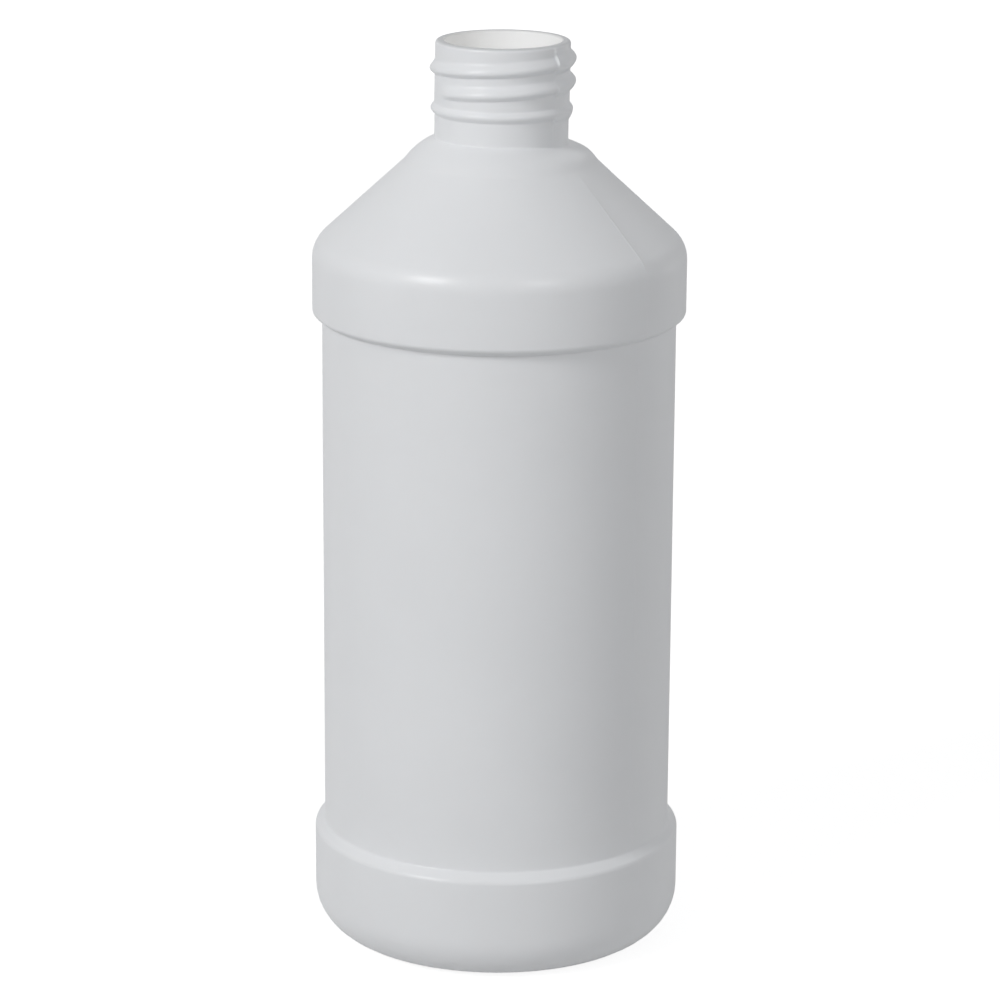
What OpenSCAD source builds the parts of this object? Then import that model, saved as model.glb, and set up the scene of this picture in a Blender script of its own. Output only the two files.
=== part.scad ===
/*
Round plastic bottle, blown in one piece, with an open threaded neck.
It stands on +Z, with the centre of its foot at the origin and its front at -Y.
The wall is one closed section, turned about Z. The thread runs round the neck on top of it.
*/

/* [Body] */
// Diameter over the two bands
band_d = 70.6; // [55:0.1:110]
// Height of the lower band, from the foot to its top edge
lower_band_h = 20.7; // [14:0.1:40]
// Height of the recessed label panel between the bands
label_h = 101.95; // [20:0.05:200]
// Height of the upper band, from its bottom edge to the shoulder's edge
upper_band_h = 12.85; // [9:0.05:40]
// Depth of the label panel below the bands
label_recess = 1.85; // [0.8:0.05:3]
// Wall thickness of the body
wall = 0.9; // [0.5:0.05:1.4]

/* [Edges of the bands] */
// Slope of the ledge on the lower band, in degrees from upright
lower_ledge_slope = 50; // [35:1:60]
// Radius of the lower ledge's outer edge
lower_edge_r = 1.3; // [0.3:0.05:1.5]
// Radius where the lower ledge meets the panel
lower_fillet_r = 0.5; // [0.2:0.05:2.5]
// Slope of the underside of the upper band, in degrees from upright
upper_ledge_slope = 60; // [45:1:80]
// Radius of the upper band's bottom edge
upper_edge_r = 1.0; // [0.3:0.05:1.5]
// Radius where the panel meets the upper band
upper_fillet_r = 0.3; // [0.2:0.05:0.8]

/* [Base] */
// Radius of the heel
heel_r = 8.6; // [3:0.1:12]
// Width of the flat ring that the bottle stands on
foot_w = 2.0; // [1:0.1:4]
// Rise of the base at its centre
push_up_h = 2.8; // [1:0.1:6]
// Wall thickness of the base
base_wall = 1.2; // [0.6:0.05:2]
// Length of the seam across the base
seam_l = 34; // [10:1:38]
// Width of that seam
seam_w = 1.0; // [0.5:0.1:2]
// How far the seam stands down from the base
seam_h = 0.35; // [0.1:0.05:0.8]
// Direction of the mould's parting plane, in degrees round from the front
parting_angle = 50; // [0:1:180]

/* [Shoulder] */
// Slope of the shoulder, in degrees from level
shoulder_slope = 42.8; // [25:0.1:60]
// Radius of the edge between the upper band and the shoulder
shoulder_edge_r = 6.0; // [2:0.1:8]
// Diameter of the domed step at the top of the shoulder
dome_d = 36.5; // [31:0.1:44]
// Height of that dome, up to the neck
dome_h = 4.5; // [3.8:0.1:5]
// Radius of the dome's curve
dome_r = 13; // [9:0.5:30]

/* [Neck] */
// Height of the neck, from the dome to the rim
neck_h = 18.2; // [17:0.1:30]
// Diameter of the neck's wall where the thread is
neck_d = 25.2; // [24.6:0.05:26]
// Diameter of the neck below its bead
neck_foot_d = 25.0; // [24:0.05:25.2]
// Diameter of the bore
bore_d = 21.8; // [18:0.1:22.4]
// Radius of the rim's outer edge
rim_outer_r = 0.7; // [0.2:0.05:0.9]
// Radius of the rim's inner edge
rim_inner_r = 0.3; // [0.1:0.05:0.5]
// Depth of the bead below the rim
bead_depth = 12.7; // [12.2:0.1:14]
// How far the bead stands out from the neck
bead_h = 0.7; // [0.3:0.05:1.2]
// Width of the bead
bead_w = 2.2; // [1.8:0.1:3]

/* [Thread] */
// Diameter over the thread
thread_d = 27.3; // [26.4:0.05:28]
// Threads to the inch
threads_per_inch = 6; // [5:1:8]
// Number of turns
thread_turns = 1.55; // [1:0.05:1.6]
// Width of the ridge above its crest
ridge_upper_w = 1.8; // [1:0.05:2]
// Width of the ridge below its crest
ridge_lower_w = 1.3; // [0.8:0.05:1.6]
// Depth of the crest's upper end below the rim
thread_depth = 2.77; // [2.6:0.01:3.2]
// Where the upper end of the thread lies, in degrees round from the front
thread_end_angle = 130; // [0:1:359]

/* [Hidden] */

$fn = 128;
arc_steps = 12;
dome_steps = 14;
base_steps = 28;
thread_step_angle = 7.5;
ridge_points = 10;
mm_per_inch = 25.4;
// Least radius of an inside edge, where the wall is thicker than the outside edge's radius
least_r = 0.1;

band_r = band_d / 2;
panel_r = band_r - label_recess;
dome_foot_r = dome_d / 2;
neck_r = neck_d / 2;
neck_foot_r = neck_foot_d / 2;
bore_r = bore_d / 2;

// Heights of the profile's corners
upper_band_z = lower_band_h + label_h;
shoulder_z = upper_band_z + upper_band_h;
dome_z = shoulder_z + (band_r - dome_foot_r) * tan(shoulder_slope);
neck_z = dome_z + dome_h;
rim_z = neck_z + neck_h;
bead_z = rim_z - bead_depth;

// The foot ring runs from the heel inwards to where the push-up starts
foot_outer_r = band_r - heel_r;
foot_inner_r = foot_outer_r - foot_w;

// The dome's curve passes through its foot and the foot of the neck
dome_foot = [dome_foot_r, dome_z];
dome_top = [neck_foot_r, neck_z];
dome_centre = arc_centre(dome_foot, dome_top, dome_r);

// The bead is part of a circle that stands out by bead_h over a width of bead_w
bead_r = (pow(bead_h, 2) + pow(bead_w / 2, 2)) / (2 * bead_h);
bead_centre_r = neck_r + bead_h - bead_r;

thread_pitch = mm_per_inch / threads_per_inch;
thread_h = (thread_d - neck_d) / 2;
thread_end_z = rim_z - thread_depth;
// The ridge is rooted this deep in the neck's wall, and its flanks start just below the surface
thread_root = min(0.6, (neck_r - bore_r) / 2);
thread_sink = 0.1;
// Above 1, the flanks run out softly into the neck
flank_power = 1.2;
// The ridge fades in and out over this angle
thread_fade_angle = 25;

// Centre of the circle of radius r through p and q, on the axis side of them
function arc_centre(p, q, r) =
    let (half = (q - p) / 2, along = norm(half), left = [-half.y, half.x] / along)
    p + half + left * sqrt(pow(r, 2) - pow(along, 2));

// Points on an arc about centre c, from angle a0 to angle a1
function arc(c, r, a0, a1, steps) =
    [for (i = [0:steps]) let (a = a0 + (a1 - a0) * i / steps) c + r * [cos(a), sin(a)]];

// The angle from a centre to a point
function bearing(c, p) = atan2(p.y - c.y, p.x - c.x);

function unit(v) = v / norm(v);

// The corner q between p and s, rounded with radius r: a true arc, tangent to both sides
function rounded(p, q, s, r) =
    let (
        to_p = unit(p - q),
        to_s = unit(s - q),
        half_angle = acos(to_p * to_s) / 2,
        centre = q + unit(to_p + to_s) * r / sin(half_angle),
        start = bearing(centre, q + to_p * r / tan(half_angle)),
        finish = bearing(centre, q + to_s * r / tan(half_angle)),
        turn = (finish - start + 540) % 360 - 180
    )
    arc(centre, r, start, start + turn, arc_steps);

// A path of [radius, height, corner radius] with each inner corner rounded
function rounded_path(path) =
    [for (i = [1:len(path) - 2])
        each rounded(flat(path[i - 1]), flat(path[i]), flat(path[i + 1]), path[i].z)];

function flat(corner) = [corner.x, corner.y];

// Height of the base's outer face at radius r: level at the foot ring and at the centre
function base_z(r) = push_up_h * pow(1 - pow(r / foot_inner_r, 4), 2);

// The base from its centre to the foot ring, raised by t
function base_path(t) =
    [for (i = [0:base_steps]) let (r = foot_inner_r * i / base_steps) [r, base_z(r) + t]];

// The corners of the body, set back from its outer face by t. A corner's height moves with
// its two sides, and its radius shrinks where it points out and grows where it points in.
function body_corners(t, base_t) =
    let (
        lower_shift = t * tan(lower_ledge_slope / 2),
        upper_shift = t * tan(upper_ledge_slope / 2),
        shoulder_shift = t * tan((90 - shoulder_slope) / 2),
        lower_rise = label_recess / tan(lower_ledge_slope),
        upper_rise = label_recess / tan(upper_ledge_slope)
    )
    [
        [0, base_t, 0],
        [band_r - t, base_t, heel_r - max(t, base_t)],
        [band_r - t, lower_band_h - lower_shift, max(lower_edge_r - t, least_r)],
        [panel_r - t, lower_band_h + lower_rise - lower_shift, lower_fillet_r + t],
        [panel_r - t, upper_band_z - upper_rise + upper_shift, upper_fillet_r + t],
        [band_r - t, upper_band_z + upper_shift, max(upper_edge_r - t, least_r)],
        [band_r - t, shoulder_z - shoulder_shift, shoulder_edge_r - t],
        concat(shoulder_top(t), [0])
    ];

// Where the shoulder meets the dome, set back by t
function shoulder_top(t) = dome_foot - t * [sin(shoulder_slope), cos(shoulder_slope)];

function outer_path() = concat(
    base_path(0),
    [[foot_outer_r, 0]],
    rounded_path(body_corners(0, 0)),
    arc(dome_centre, dome_r, bearing(dome_centre, dome_foot), bearing(dome_centre, dome_top), dome_steps),
    bead_path(),
    arc([neck_r - rim_outer_r, rim_z - rim_outer_r], rim_outer_r, 0, 90, arc_steps)
);

function bead_path() =
    let (
        start = -acos((neck_foot_r - bead_centre_r) / bead_r),
        finish = acos((neck_r - bead_centre_r) / bead_r)
    )
    arc([bead_centre_r, bead_z], bead_r, start, finish, arc_steps);

function inner_path() =
    let (
        inner_dome_r = dome_r - wall,
        start = bearing(dome_centre, dome_foot),
        finish = acos((bore_r - dome_centre.x) / inner_dome_r)
    )
    concat(
        base_path(base_wall),
        rounded_path(body_corners(wall, base_wall)),
        [shoulder_top(wall)],
        arc(dome_centre, inner_dome_r, start, finish, dome_steps),
        arc([bore_r + rim_inner_r, rim_z - rim_inner_r], rim_inner_r, 180, 90, arc_steps)
    );

function backwards(path) = [for (i = [len(path) - 1:-1:0]) path[i]];

// How much of the ridge's full height stands at a given share of its way
function ridge_growth(share) =
    let (
        from_end = min(share, 1 - share) * thread_turns * 360,
        x = min(from_end / thread_fade_angle, 1)
    )
    x * x * (3 - 2 * x);

// The ridge's section at a height share of growth: [how far out from the neck, how high]
function ridge_section(growth) =
    let (crest = (thread_h + thread_sink) * growth - thread_sink)
    concat(
        [[-thread_root, -ridge_lower_w]],
        [for (i = [0:ridge_points])
            let (a = 180 * i / ridge_points, w = a < 90 ? ridge_lower_w : ridge_upper_w)
            [-thread_sink + (crest + thread_sink) * pow(sin(a), flank_power), -w * cos(a)]],
        [[-thread_root, ridge_upper_w]]
    );

// One ring of the thread's mesh: the section at a turned angle and height
function ridge_ring(share) =
    let (
        back = (share - 1) * thread_turns * 360,
        a = thread_end_angle - 90 + back,
        z = thread_end_z + thread_pitch * back / 360
    )
    [for (p = ridge_section(ridge_growth(share)))
        [(neck_r + p.x) * cos(a), (neck_r + p.x) * sin(a), z + p.y]];

// The whole wall, turned in one piece
module shell() {
    rotate_extrude()
        polygon(concat(outer_path(), backwards(inner_path())));
}

// The thread: one section swept up a helix
module thread() {
    rings = ceil(thread_turns * 360 / thread_step_angle);
    sides = ridge_points + 3;
    points = [for (k = [0:rings]) each ridge_ring(k / rings)];
    walls = [for (k = [0:rings - 1], s = [0:sides - 1])
        let (a = k * sides + s, b = k * sides + (s + 1) % sides)
        each [[a, b, a + sides], [b, b + sides, a + sides]]];
    first_cap = [for (s = [1:sides - 2]) [0, s + 1, s]];
    last = rings * sides;
    last_cap = [for (s = [1:sides - 2]) [last, last + s, last + s + 1]];
    polyhedron(points = points, faces = concat(walls, first_cap, last_cap));
}

// The seam where the tube was pinched off, along the parting plane: a thin rib on the push-up
module pinch_seam() {
    rib = concat(
        [for (i = [0:base_steps]) let (r = seam_l / 2 * i / base_steps) [r, base_z(r) - seam_h]],
        [for (i = [base_steps:-1:0]) let (r = seam_l / 2 * i / base_steps) [r, base_z(r) + base_wall / 2]]
    );
    intersection() {
        rotate_extrude() polygon(rib);
        rotate([0, 0, parting_angle - 90])
            translate([-seam_l / 2, -seam_w / 2, 0])
                cube([seam_l, seam_w, push_up_h + base_wall]);
    }
}

module bottle() {
    color([0.93, 0.94, 0.94]) {
        shell();
        thread();
        pinch_seam();
    }
}

bottle();
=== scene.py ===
import math

import bpy
from mathutils import Matrix, Vector, noise


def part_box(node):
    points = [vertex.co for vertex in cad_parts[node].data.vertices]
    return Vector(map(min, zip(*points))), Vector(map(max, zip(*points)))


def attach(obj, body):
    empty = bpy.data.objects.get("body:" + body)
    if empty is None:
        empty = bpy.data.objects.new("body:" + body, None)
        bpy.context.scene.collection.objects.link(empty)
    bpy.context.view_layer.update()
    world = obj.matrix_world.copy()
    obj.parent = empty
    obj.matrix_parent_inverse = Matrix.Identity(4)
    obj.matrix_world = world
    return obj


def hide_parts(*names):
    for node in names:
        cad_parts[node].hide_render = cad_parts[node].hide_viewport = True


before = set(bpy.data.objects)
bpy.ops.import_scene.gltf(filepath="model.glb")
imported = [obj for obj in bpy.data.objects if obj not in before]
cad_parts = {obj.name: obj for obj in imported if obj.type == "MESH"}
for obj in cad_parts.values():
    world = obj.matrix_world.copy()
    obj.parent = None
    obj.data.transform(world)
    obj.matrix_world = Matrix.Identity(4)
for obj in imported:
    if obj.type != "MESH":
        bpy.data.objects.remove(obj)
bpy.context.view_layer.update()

# The round plastic bottle as it looks: its skin, its plastic, the floor, the light and the camera.
# The skin is one closed mesh that stands for the CAD bottle. It has the CAD wall's section, in
# finer rings, and adds what one real bottle shows: the parting line, mould halves that differ a
# little, a slightly uneven wall and a neck that leans.
# Sizes of the bottle are in millimetres and angles in degrees. An azimuth is counted from the
# front, -Y, towards +X. Everything that Blender gets is in metres.

MM = 0.001

# Body
WALL = 0.9
LABEL_RECESS = 1.85
LOWER_BAND_H = 20.7
LABEL_H = 101.95
LOWER_LEDGE_SLOPE = 50
LOWER_EDGE_R = 1.3
LOWER_FILLET_R = 0.5
UPPER_LEDGE_SLOPE = 60
UPPER_EDGE_R = 1.0
UPPER_FILLET_R = 0.3
UPPER_BAND_H = 12.85
SHOULDER_EDGE_R = 6.0
SHOULDER_SLOPE = 42.8

# Base
BASE_WALL = 1.2
HEEL_R = 8.6
FOOT_W = 2.0
PUSH_UP_H = 2.8
PINCH_L = 34
PINCH_W = 1.0
PINCH_H = 0.35

# Dome and neck, measured down from the rim
DOME_FOOT_R = 18.25
DOME_H = 4.5
DOME_R = 13
DOME_CREASE_R = 6
NECK_H = 18.2
NECK_R = 12.6
NECK_FOOT_R = 12.5
NECK_CORNER_R = 0.35
BORE_R = 10.9
RIM_OUTER_R = 0.7
RIM_INNER_R = 0.3
BEAD_DEPTH = 12.7
BEAD_H = 0.7
BEAD_W = 2.2
BEAD_POWER = 1.2

# Thread: a right-hand ridge whose upper end lies at THREAD_END
THREAD_PITCH = 25.4 / 6
THREAD_TURNS = 1.55
THREAD_END = 130
THREAD_DEPTH = 2.77
THREAD_FADE = 25

# The mould's two halves meet at this azimuth and across from it, and one gives way to the other
# within a few degrees. Each has its own ridge: how high it stands, and how wide it is above and
# below its crest. A power above 1 lets a flank run out softly.
PARTING = 50
PARTING_SHARPNESS = 20
LEFT_RIDGE = Vector((0.95, 1.9, 1.0))
RIGHT_RIDGE = Vector((1.1, 1.6, 1.75))
UPPER_FLANK_POWER = 1.6
LOWER_FLANK_POWER = 1.1
# The parting line's height on the body, on the neck and, more, on the lip above the thread
SEAM_BODY_H = 0.035
SEAM_NECK_H = 0.05
SEAM_LIP_H = 0.14
SEAM_BODY_W = 0.16
SEAM_NECK_W = 0.26
# Beside the parting line the right half's ridge swells upwards, and it fills in under the bead
SWELLING_W = 1.0
SWELLING_ANGLE = 38
BEAD_FILL = 0.45
# On the shoulder the right half falls away from the parting line
FOLD_DEPTH = 0.25
FOLD_W = 4
# The blown wall is uneven by this much, over this distance, and lies just inside the CAD's face
UNEVEN = 0.04
UNEVEN_SPAN = 24
INSET = 0.01

# The neck leans to the right, and its foot lies lower on that side
LEAN = 0.45
SAG = 1.1
SAG_H = 3.2

# The skin's two materials, and the strength of the painted glow on the inside: an emission that stands
# in for the room's light coming through the wall
OUTSIDE, INSIDE = 0, 1
PAINTED_WALL_GLOW = 0.1

# The skin's mesh
COLUMNS = 220
ARC_STEPS = 10
BASE_STEPS = 24
NECK_SPACING = 0.19
BODY_SPACING = 5.0
# Columns that stand closer together beside a parting line, in degrees from it
FINE_COLUMNS = (0, 0.13, 0.28, 0.46, 0.7, 1.0, 1.5, 2.1, 2.9)
FINE_REACH = 3.6

# The CAD bottle's box gives the radius of the bands and the height of the rim
box_low, box_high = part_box("bottle")
BAND_R = (box_high.x - box_low.x) / 2 / MM
RIM_Z = box_high.z / MM
PANEL_R = BAND_R - LABEL_RECESS
UPPER_BAND_Z = LOWER_BAND_H + LABEL_H
SHOULDER_Z = UPPER_BAND_Z + UPPER_BAND_H
NECK_Z = RIM_Z - NECK_H
DOME_Z = NECK_Z - DOME_H
BEAD_Z = RIM_Z - BEAD_DEPTH
THREAD_END_Z = RIM_Z - THREAD_DEPTH
FOOT_OUTER_R = BAND_R - HEEL_R
FOOT_INNER_R = FOOT_OUTER_R - FOOT_W


def smooth(x):
    """Rises from 0 to 1 as x does, level at both ends."""
    x = min(max(x, 0), 1)
    return x * x * (3 - 2 * x)


def on_circle(centre, radius, angle):
    return centre + radius * Vector((math.cos(angle), math.sin(angle)))


def arc(centre, radius, start, finish, steps=ARC_STEPS):
    """Points on an arc, from the angle start to the angle finish, in radians."""
    return [on_circle(centre, radius, start + (finish - start) * i / steps) for i in range(steps + 1)]


def bearing(centre, point):
    return math.atan2(point.y - centre.y, point.x - centre.x)


def rounded(before, corner, after, radius):
    """The corner as an arc that is tangent to both of its sides."""
    to_before = (before - corner).normalized()
    to_after = (after - corner).normalized()
    half_angle = to_before.angle(to_after) / 2
    centre = corner + (to_before + to_after).normalized() * radius / math.sin(half_angle)
    start = bearing(centre, corner + to_before * radius / math.tan(half_angle))
    finish = bearing(centre, corner + to_after * radius / math.tan(half_angle))
    turn = (finish - start + 3 * math.pi) % (2 * math.pi) - math.pi
    return arc(centre, radius, start, start + turn)


def rounded_path(corners):
    """Corners are (radius, height, corner radius). The first and last only give directions."""
    points = [Vector(c[:2]) for c in corners]
    return [p for i in range(1, len(corners) - 1)
            for p in rounded(points[i - 1], points[i], points[i + 1], corners[i][2])]


def arc_centre(p, q, radius):
    """Centre of the circle through p and q, on the axis side of them."""
    half = (q - p) / 2
    left = Vector((-half.y, half.x)).normalized()
    return p + half + left * math.sqrt(radius ** 2 - half.length ** 2)


DOME_FOOT = Vector((DOME_FOOT_R, DOME_Z))
DOME_TOP = Vector((NECK_FOOT_R, NECK_Z))
DOME_CENTRE = arc_centre(DOME_FOOT, DOME_TOP, DOME_R)


def base_path(lift):
    """The pushed-up base from its centre to the foot ring."""
    radii = [FOOT_INNER_R * i / BASE_STEPS for i in range(BASE_STEPS + 1)]
    return [Vector((r, PUSH_UP_H * (1 - (r / FOOT_INNER_R) ** 4) ** 2 + lift)) for r in radii]


def body_path(inset, base_inset):
    """The body from heel to shoulder, set back from its outer face by inset."""
    lower_shift = inset * math.tan(math.radians(LOWER_LEDGE_SLOPE / 2))
    upper_shift = inset * math.tan(math.radians(UPPER_LEDGE_SLOPE / 2))
    shoulder_shift = inset * math.tan(math.radians((90 - SHOULDER_SLOPE) / 2))
    lower_rise = LABEL_RECESS / math.tan(math.radians(LOWER_LEDGE_SLOPE))
    upper_rise = LABEL_RECESS / math.tan(math.radians(UPPER_LEDGE_SLOPE))
    slope = math.radians(SHOULDER_SLOPE)
    return rounded_path([
        (0, base_inset, 0),
        (BAND_R - inset, base_inset, HEEL_R - base_inset),
        (BAND_R - inset, LOWER_BAND_H - lower_shift, max(LOWER_EDGE_R - inset, 0.1)),
        (PANEL_R - inset, LOWER_BAND_H + lower_rise - lower_shift, LOWER_FILLET_R + inset),
        (PANEL_R - inset, UPPER_BAND_Z - upper_rise + upper_shift, UPPER_FILLET_R + inset),
        (BAND_R - inset, UPPER_BAND_Z + upper_shift, UPPER_EDGE_R - inset),
        (BAND_R - inset, SHOULDER_Z - shoulder_shift, SHOULDER_EDGE_R - inset),
        (DOME_FOOT_R - inset * math.sin(slope), DOME_Z - inset * math.cos(slope), 0),
    ])


def dome_path():
    """The step at the shoulder's top, with a soft crease at its foot and a corner at the neck."""
    start = bearing(DOME_CENTRE, DOME_FOOT)
    finish = bearing(DOME_CENTRE, DOME_TOP)
    curve = arc(DOME_CENTRE, DOME_R, start, finish, 2 * ARC_STEPS)
    slope = math.radians(SHOULDER_SLOPE)
    down_slope = DOME_FOOT + Vector((math.cos(slope), -math.sin(slope))) * DOME_H
    crease = rounded(down_slope, curve[0], curve[3], DOME_CREASE_R)
    corner = rounded(curve[-2], curve[-1], DOME_TOP + Vector((0, DOME_H)), NECK_CORNER_R)
    return crease + curve[3:-2] + corner


def bead_path():
    """The bead, soft at both edges, between the two radii of the neck."""
    out = []
    for i in range(2 * ARC_STEPS + 1):
        up = i / ARC_STEPS - 1
        neck_r = NECK_FOOT_R + (NECK_R - NECK_FOOT_R) * smooth((up + 1) / 2)
        height = BEAD_H * max(0, math.cos(up * math.pi / 2)) ** BEAD_POWER
        out.append(Vector((neck_r + height, BEAD_Z + up * BEAD_W / 2)))
    return out


def outer_path():
    rim = arc(Vector((NECK_R - RIM_OUTER_R, RIM_Z - RIM_OUTER_R)), RIM_OUTER_R, 0, math.pi / 2)
    return base_path(0) + body_path(0, 0) + dome_path() + bead_path() + rim


def inner_path():
    """The inside of the wall, from the rim down to the middle of the base."""
    inner_dome_r = DOME_R - WALL
    start = bearing(DOME_CENTRE, DOME_FOOT)
    finish = math.acos((BORE_R - DOME_CENTRE.x) / inner_dome_r)
    upwards = (
        base_path(BASE_WALL) + body_path(WALL, BASE_WALL)
        + arc(DOME_CENTRE, inner_dome_r, start, finish)
        + arc(Vector((BORE_R + RIM_INNER_R, RIM_Z - RIM_INNER_R)), RIM_INNER_R, math.pi, math.pi / 2, 5)
    )
    return upwards[::-1]


def subdivided(path, spacing_at):
    """The path with extra points, so that no step is longer than spacing_at its middle."""
    out = [path[0]]
    for p in path[1:]:
        last = out[-1]
        if (p - last).length < 0.004:
            continue
        steps = math.ceil((p - last).length / spacing_at((p + last) / 2) - 1e-6)
        out += [last.lerp(p, k / steps) for k in range(1, steps + 1)]
    return out


def outer_spacing(p):
    return NECK_SPACING if p.y > NECK_Z and p.x > NECK_FOOT_R - RIM_OUTER_R else BODY_SPACING


def normals(path):
    """Each point's outward normal, on the right of the path's direction."""
    out = []
    for i in range(len(path)):
        along = path[min(i + 1, len(path) - 1)] - path[max(i - 1, 0)]
        out.append(Vector((along.y, -along.x)).normalized())
    return out


def right_half(azimuth):
    """1 in the mould's half to the right of the parting line, 0 in the other half."""
    return smooth(0.5 + PARTING_SHARPNESS * math.sin(math.radians(azimuth - PARTING)))


def thread_relief(azimuth, z):
    """How far the thread stands out from the neck, in whichever of its turns passes here."""
    total = THREAD_TURNS * 360
    height, above, below = LEFT_RIDGE.lerp(RIGHT_RIDGE, right_half(azimuth))
    swelling = SWELLING_W * right_half(azimuth) * smooth(2 - (azimuth - PARTING) / SWELLING_ANGLE * 2)
    relief = 0
    back = (THREAD_END - azimuth) % 360
    while back < total:
        offset = z - (THREAD_END_Z - THREAD_PITCH * back / 360)
        growth = smooth(min(back, total - back) / THREAD_FADE)
        if offset > 0:
            reach = above + (swelling if back < 360 else 0)
            section = math.cos(min(offset / reach, 1) * math.pi / 2) ** UPPER_FLANK_POWER
        else:
            section = math.cos(min(-offset / below, 1) * math.pi / 2) ** LOWER_FLANK_POWER
        relief = max(relief, height * growth * section)
        back += 360
    return relief


def bead_relief(azimuth, z):
    """What the right half of the mould adds under the bead."""
    under = z - (BEAD_Z - BEAD_W / 2)
    return BEAD_FILL * right_half(azimuth) * smooth(1 - abs(under) / (BEAD_W / 2))


def seam_relief(azimuth, r, z):
    """The parting line: a fine bead along the plane where the mould's halves meet."""
    across = r * math.sin(math.radians(azimuth - PARTING))
    on_body = smooth((DOME_Z - 3 - z) / 6)
    on_neck = smooth((z - NECK_Z) / 2)
    on_lip = smooth((z - (THREAD_END_Z - 1)) * 2)
    height = SEAM_BODY_H * on_body + SEAM_NECK_H * on_neck + SEAM_LIP_H * on_lip
    width = SEAM_BODY_W + (SEAM_NECK_W - SEAM_BODY_W) * on_neck
    return height * smooth(RIM_Z - z) * math.exp(-((across / width) ** 2))


def fold_relief(azimuth, r, z):
    """The slight fold along the parting line on the shoulder."""
    across = abs(r * math.sin(math.radians(azimuth - PARTING))) / FOLD_W
    on_shoulder = smooth((z - SHOULDER_Z + 3) / 4) * smooth((DOME_Z - z) / 2)
    return -FOLD_DEPTH * right_half(azimuth) * on_shoulder * across * math.exp(1 - across)


def pinch_relief(azimuth, r):
    """The seam across the base, where the tube was pinched off."""
    angle = math.radians(azimuth - PARTING)
    across = abs(r * math.sin(angle))
    along = abs(r * math.cos(angle))
    return PINCH_H * smooth((PINCH_W - across) / (PINCH_W / 2)) * smooth((PINCH_L / 2 - along) / 2)


def body_relief(azimuth, r, z):
    """Very slight unevenness of the blown wall. It only ever pulls the wall in."""
    a = math.radians(azimuth)
    where = Vector((r * math.sin(a), -r * math.cos(a), z * 0.6)) / UNEVEN_SPAN
    return UNEVEN * (noise.noise(where) - 1) - INSET


def relief(azimuth, r, z):
    """How far the skin stands out from the CAD section."""
    if z > NECK_Z:
        return thread_relief(azimuth, z) + bead_relief(azimuth, z) + seam_relief(azimuth, r, z)
    if z < PUSH_UP_H + 0.1 and r < FOOT_INNER_R:
        return pinch_relief(azimuth, r)
    blend = smooth(z / HEEL_R) * smooth((NECK_Z - z) / DOME_H)
    dents = body_relief(azimuth, r, z) + fold_relief(azimuth, r, z)
    return blend * dents + smooth(z / 2) * seam_relief(azimuth, r, z)


def lean(z):
    """How far the neck's lean moves a ring to the right."""
    return LEAN * max(0, (z - UPPER_BAND_Z) / (RIM_Z - UPPER_BAND_Z)) ** 2


def sag(azimuth, z):
    """How far the dome and the neck's foot drop at this side of the neck."""
    near_foot = smooth((z - NECK_Z + SAG_H) / SAG_H) * smooth((NECK_Z + SAG_H - z) / SAG_H)
    return SAG * near_foot * max(0, math.sin(math.radians(azimuth))) ** 2


def azimuths():
    """Even columns round the bottle, with finer ones beside the two parting lines."""
    def off_parting(a):
        return (a - PARTING + 90) % 180 - 90
    even = [360 * i / COLUMNS for i in range(COLUMNS)]
    fine = [(PARTING + half + sign * d) % 360
            for half in (0, 180) for d in FINE_COLUMNS for sign in (-1, 1) if d or sign > 0]
    return sorted([a for a in even if abs(off_parting(a)) > FINE_REACH] + fine)


def skin_rings():
    """Each ring of the skin as (radius, height, normal, whether it is outside)."""
    outside = subdivided(outer_path(), outer_spacing)
    inside = subdivided(inner_path(), lambda p: 2 * BODY_SPACING)
    normal = normals(outside + inside)
    return [(p.x, p.y, n, i < len(outside)) for i, (p, n) in enumerate(zip(outside + inside, normal))]


def bottle_skin():
    """The bottle's whole surface, outside and in, as one closed mesh."""
    rings = skin_rings()
    angles = azimuths()
    count = len(angles)
    verts = [(0, 0, rings[0][1] * MM)]
    for r, z, n, outside in rings[1:-1]:
        for a in angles:
            out = relief(a, r, z) if outside else 0
            ring_r, ring_z = r + n.x * out, z + n.y * out - sag(a, z)
            x, y = ring_r * math.sin(math.radians(a)), -ring_r * math.cos(math.radians(a))
            verts.append(((x + lean(z)) * MM, y * MM, ring_z * MM))
    verts.append((0, 0, rings[-1][1] * MM))
    top = len(verts) - 1
    faces, materials = [], []
    for j in range(count):
        k = (j + 1) % count
        faces.append((0, 1 + k, 1 + j))
        for i in range(len(rings) - 3):
            row = 1 + i * count
            faces.append((row + j, row + k, row + count + k, row + count + j))
        faces.append((top, top - count + j, top - count + k))
        materials += [OUTSIDE if outside else INSIDE for _, _, _, outside in rings[:-1]]
    mesh = bpy.data.meshes.new("bottle_skin")
    mesh.from_pydata(verts, [], faces)
    mesh.shade_smooth()
    mesh.materials.append(white_plastic("white_plastic", 0))
    # The inside's material carries the painted glow that stands in for light through the wall
    mesh.materials.append(white_plastic("white_plastic_inside", PAINTED_WALL_GLOW))
    mesh.polygons.foreach_set("material_index", materials)
    skin = bpy.data.objects.new("bottle_skin", mesh)
    bpy.context.collection.objects.link(skin)
    return skin


class Nodes:
    """A short way to write a node tree: add a node, and link by socket name."""

    def __init__(self, owner):
        owner.use_nodes = True
        self.tree = owner.node_tree
        self.tree.nodes.clear()

    def add(self, kind, **values):
        node = self.tree.nodes.new(kind)
        for name, value in values.items():
            setattr(node, name, value)
        return node

    def link(self, source, output, target, socket):
        self.tree.links.new(source.outputs[output], target.inputs[socket])


def ranged(n, source, output, limits, results):
    """A node that maps a value from one pair of limits to another."""
    node = n.add("ShaderNodeMapRange")
    node.inputs["From Min"].default_value, node.inputs["From Max"].default_value = limits
    node.inputs["To Min"].default_value, node.inputs["To Max"].default_value = results
    n.link(source, output, node, "Value")
    return node


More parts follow.
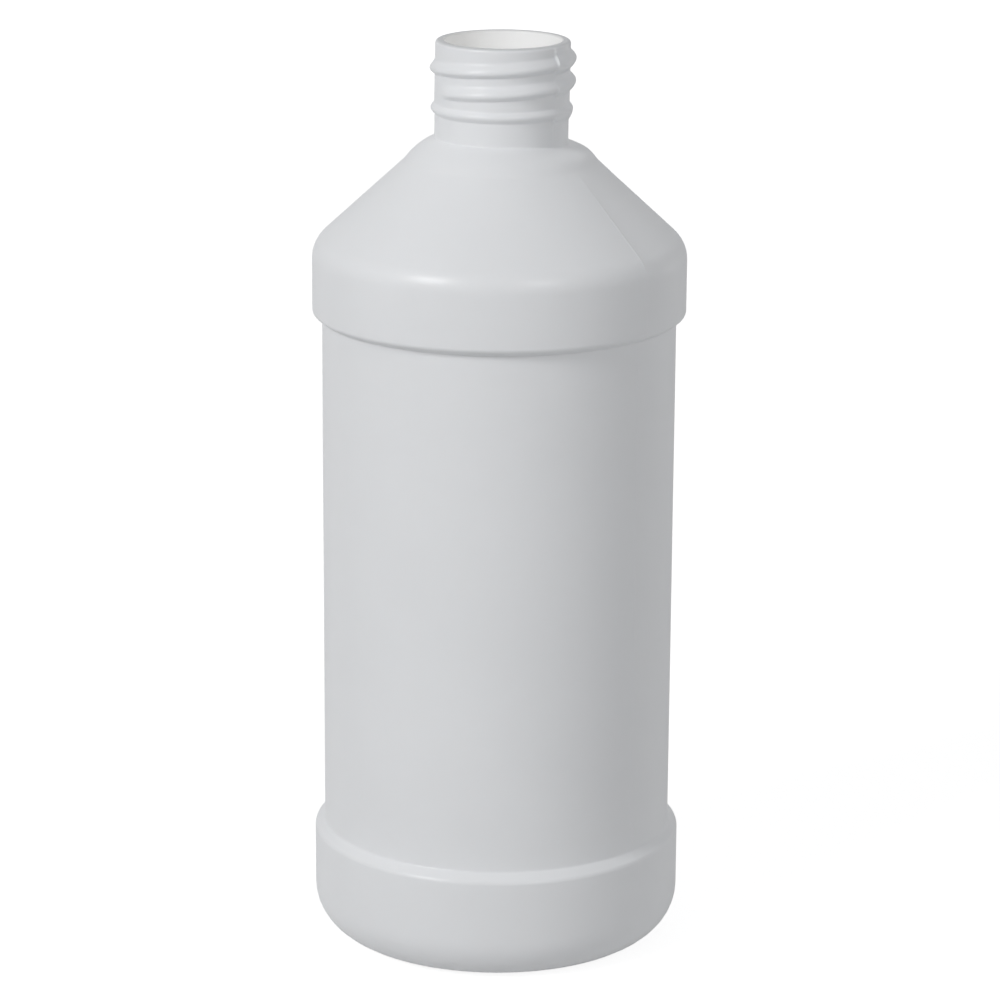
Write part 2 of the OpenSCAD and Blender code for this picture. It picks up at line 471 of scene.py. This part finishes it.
def plastic_colour(n, place, cloud):
    """White, very slightly cloudy, and darker on the rim's land: painted shade for the little light
    that falls on that upward face.
    """
    colour = n.add("ShaderNodeValToRGB")
    colour.color_ramp.elements[0].position = 0.3
    colour.color_ramp.elements[0].color = (0.855, 0.866, 0.88, 1)
    colour.color_ramp.elements[1].position = 0.7
    colour.color_ramp.elements[1].color = (0.875, 0.886, 0.9, 1)
    n.link(cloud, "Fac", colour, "Fac")
    height = n.add("ShaderNodeSeparateXYZ")
    n.link(place, "Object", height, "Vector")
    # Painted shade: the rim's land, which faces up, is darkened to three quarters of its value
    painted_land_shade = ranged(n, height, "Z", [(RIM_Z - d) * MM for d in (0.35, 0.05)], (1, 0.75))
    tone = n.add("ShaderNodeHueSaturation")
    n.link(painted_land_shade, "Result", tone, "Value")
    n.link(colour, "Color", tone, "Color")
    return tone


def plastic_roughness(n, cloud):
    """A satin that varies a little, and turns waxy where it is seen at a low angle."""
    satin = ranged(n, cloud, "Fac", (0, 1), (0.26, 0.34))
    waxy = ranged(n, n.add("ShaderNodeLayerWeight"), "Facing", (0.45, 0.95), (0, 0.3))
    roughness = n.add("ShaderNodeMath", operation="ADD")
    n.link(satin, "Result", roughness, 0)
    n.link(waxy, "Result", roughness, 1)
    return roughness


def plastic_grain(n, place):
    """The fine texture that the mould leaves."""
    grain = n.add("ShaderNodeTexNoise")
    grain.inputs["Scale"].default_value = 2600
    grain.inputs["Detail"].default_value = 2
    n.link(place, "Object", grain, "Vector")
    bump = n.add("ShaderNodeBump")
    bump.inputs["Strength"].default_value = 0.12
    bump.inputs["Distance"].default_value = 0.00004
    n.link(grain, "Fac", bump, "Height")
    return bump


def white_plastic(name, painted_glow):
    """White blown polyethylene. The second argument is the strength of a painted glow: an emission,
    a little warmer than white, that stands in for the room's light coming through the wall to this
    side."""
    material = bpy.data.materials.new(name)
    n = Nodes(material)
    output = n.add("ShaderNodeOutputMaterial")
    shader = n.add("ShaderNodeBsdfPrincipled")
    shader.inputs["Metallic"].default_value = 0
    shader.inputs["IOR"].default_value = 1.5
    shader.inputs["Specular IOR Level"].default_value = 0.32
    shader.inputs["Subsurface Weight"].default_value = 0.12
    shader.inputs["Subsurface Radius"].default_value = (1.0, 0.95, 0.9)
    shader.inputs["Subsurface Scale"].default_value = 0.0015
    # Painted glow: an emission that stands in for light coming through the wall; it is off on the
    # outside
    shader.inputs["Emission Color"].default_value = (1, 0.95, 0.85, 1)
    shader.inputs["Emission Strength"].default_value = painted_glow
    n.link(shader, "BSDF", output, "Surface")

    place = n.add("ShaderNodeTexCoord")
    cloud = n.add("ShaderNodeTexNoise")
    cloud.inputs["Scale"].default_value = 38
    cloud.inputs["Detail"].default_value = 3
    n.link(place, "Object", cloud, "Vector")
    n.link(plastic_colour(n, place, cloud), "Color", shader, "Base Color")
    n.link(plastic_roughness(n, cloud), "Value", shader, "Roughness")
    n.link(plastic_grain(n, place), "Normal", shader, "Normal")
    return material


def seen_directly(n):
    """1 for rays that show the background: the camera's, mirrored and transmitted ones."""
    path = n.add("ShaderNodeLightPath")
    first = n.add("ShaderNodeMath", operation="MAXIMUM")
    second = n.add("ShaderNodeMath", operation="MAXIMUM")
    n.link(path, "Is Camera Ray", first, 0)
    n.link(path, "Is Glossy Ray", first, 1)
    n.link(first, "Value", second, 0)
    n.link(path, "Is Transmission Ray", second, 1)
    return second


def pale_floor():
    """A wide floor that looks white round the bottle and keeps its soft shadow."""
    material = bpy.data.materials.new("pale_floor")
    n = Nodes(material)
    output = n.add("ShaderNodeOutputMaterial")
    mix = n.add("ShaderNodeMixShader")
    lit = n.add("ShaderNodeBsdfDiffuse")
    lit.inputs["Color"].default_value = (0.66, 0.66, 0.66, 1)
    shown = n.add("ShaderNodeAddShader")
    glow = n.add("ShaderNodeEmission")
    glow.inputs["Strength"].default_value = 0.88
    shade = n.add("ShaderNodeBsdfDiffuse")
    shade.inputs["Color"].default_value = (0.3, 0.3, 0.3, 1)
    n.link(glow, "Emission", shown, 0)
    n.link(shade, "BSDF", shown, 1)
    n.link(seen_directly(n), "Value", mix, "Fac")
    n.link(lit, "BSDF", mix, 1)
    n.link(shown, "Shader", mix, 2)
    n.link(mix, "Shader", output, "Surface")
    bpy.ops.mesh.primitive_plane_add(size=12)
    floor = bpy.context.active_object
    floor.name = "floor"
    floor.data.materials.append(material)
    return floor


def studio_world():
    """Even soft fill, behind a background that shows white."""
    world = bpy.data.worlds.new("studio")
    bpy.context.scene.world = world
    n = Nodes(world)
    output = n.add("ShaderNodeOutputWorld")
    mix = n.add("ShaderNodeMixShader")
    fill = n.add("ShaderNodeBackground")
    fill.inputs["Color"].default_value = (0.97, 0.98, 1, 1)
    fill.inputs["Strength"].default_value = FILL
    white = n.add("ShaderNodeBackground")
    white.inputs["Color"].default_value = (1, 1, 1, 1)
    white.inputs["Strength"].default_value = 1
    n.link(seen_directly(n), "Value", mix, "Fac")
    n.link(fill, "Background", mix, 1)
    n.link(white, "Background", mix, 2)
    n.link(mix, "Shader", output, "Surface")


# Light: each softbox's azimuth, elevation, distance, size, power and whether it is reflected. The
# one behind isn't, because it would draw a bright edge round the shoulder.
FILL = 0.307
AIM = Vector((0, 0, 0.09))
SOFTBOXES = {
    "key": (-47, 34, 1.6, 0.5, 10.45, True),
    "second": (28, 33, 1.6, 0.25, 3.0, True),
    "edge": (125, 4, 1.2, 0.3, 0.3, True),
    "back": (180, 8, 1.6, 0.6, 3.5, False),
}


def softbox(name, azimuth, elevation, distance, size, power, reflected):
    """A square soft light, turned towards the middle of the bottle."""
    light = bpy.data.lights.new(name, "AREA")
    light.size = size
    light.energy = power
    lamp = bpy.data.objects.new(name, light)
    a, e = math.radians(azimuth), math.radians(elevation)
    away = Vector((math.sin(a) * math.cos(e), -math.cos(a) * math.cos(e), math.sin(e)))
    lamp.location = AIM + away * distance
    lamp.rotation_euler = away.to_track_quat("Z", "Y").to_euler()
    lamp.visible_glossy = reflected
    bpy.context.collection.objects.link(lamp)


# Camera: in front of the bottle and above it, looking down, turned a little to suit the photo
LENS = 143.37
SENSOR_W = 36
CAMERA_BACK = 0.7336
CAMERA_UP = 0.28926
CAMERA_PITCH = 15.531
CAMERA_ROLL = 0.342
CAMERA_YAW = 0.0278


def studio_camera():
    camera_data = bpy.data.cameras.new("camera")
    camera_data.lens = LENS
    camera_data.sensor_width = SENSOR_W
    camera_data.clip_start = 0.01
    camera = bpy.data.objects.new("camera", camera_data)
    turn = (
        Matrix.Rotation(math.radians(-CAMERA_YAW), 4, "Z")
        @ Matrix.Rotation(math.radians(90 - CAMERA_PITCH), 4, "X")
        @ Matrix.Rotation(math.radians(CAMERA_ROLL), 4, "Z")
    )
    camera.matrix_world = Matrix.Translation((0, -CAMERA_BACK, CAMERA_UP)) @ turn
    bpy.context.collection.objects.link(camera)
    bpy.context.scene.camera = camera


skin = bottle_skin()
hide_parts("bottle")
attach(skin, "root")

pale_floor()
studio_world()
for name, setting in SOFTBOXES.items():
    softbox(name, *setting)
studio_camera()
bpy.context.scene.view_settings.view_transform = "Standard"
